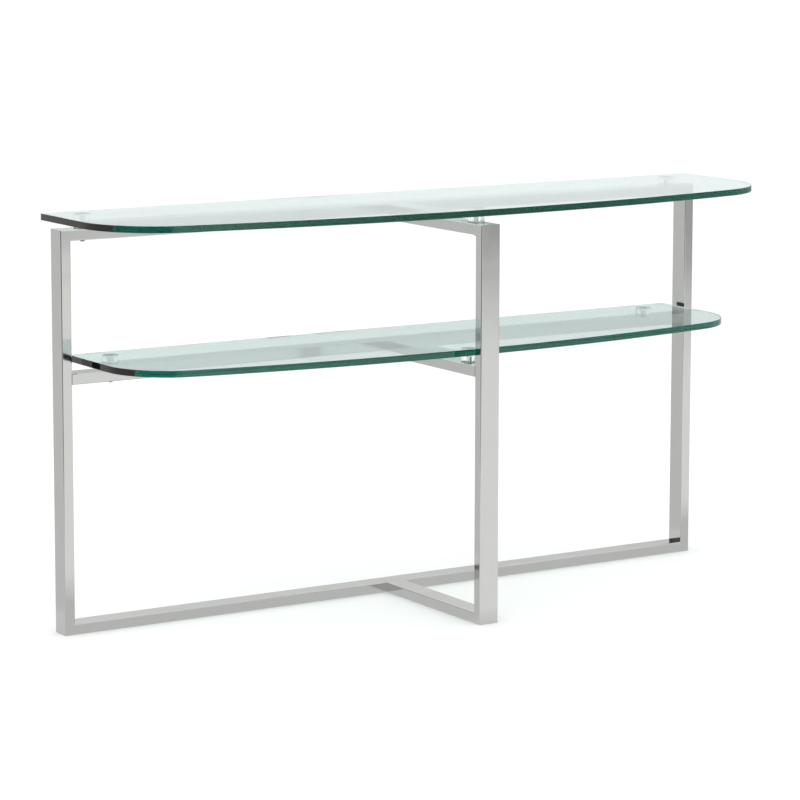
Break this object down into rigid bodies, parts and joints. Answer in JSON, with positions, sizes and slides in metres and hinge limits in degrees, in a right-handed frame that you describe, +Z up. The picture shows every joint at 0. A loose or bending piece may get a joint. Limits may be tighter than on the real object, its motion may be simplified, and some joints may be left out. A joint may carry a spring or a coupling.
{
  "type": "console table",
  "caption": "Slim console table: T-shaped polished flat-tube frame carrying a bow-fronted glass top and a shorter glass shelf on clear spacers.",
  "frame": {"origin": "on the floor, at the centre of the table's bounding box", "axes": "+X along the table's length, to the right seen from the front; +Y to the back, where the two-legged frame stands; +Z up"},
  "size_m": [1.43, 0.37, 0.76],
  "materials": {
    "polished_steel": "polished stainless flat tube with welds ground flush",
    "green_glass": "clear float glass with flat polished edges that look deep green",
    "clear_acrylic": "turned and polished clear acrylic",
    "fitting_steel": "plain stainless screws, washers and threaded inserts",
    "clear_rubber": "milky clear silicone rubber rings"
  },
  "bodies": {
    "root": {"left_leg": "polished_steel", "right_leg": "polished_steel", "front_leg": "polished_steel", "base_rail": "polished_steel", "base_arm": "polished_steel", "mid_rail": "polished_steel", "mid_arm": "polished_steel", "top_rail": "polished_steel", "top_arm": "polished_steel", "glass_top": "green_glass", "glass_shelf": "green_glass", "top_spacer_left": "clear_acrylic", "top_spacer_right": "clear_acrylic", "top_spacer_front": "clear_acrylic", "shelf_spacer_left": "clear_acrylic", "shelf_spacer_right": "clear_acrylic", "shelf_spacer_front": "clear_acrylic", "top_inserts": "fitting_steel", "shelf_inserts": "fitting_steel", "top_rubber_rings": "clear_rubber", "shelf_rubber_rings": "clear_rubber", "top_washers": "fitting_steel", "shelf_washers": "fitting_steel", "top_screws": "fitting_steel", "shelf_screws": "fitting_steel"}
  },
  "joints": []
}
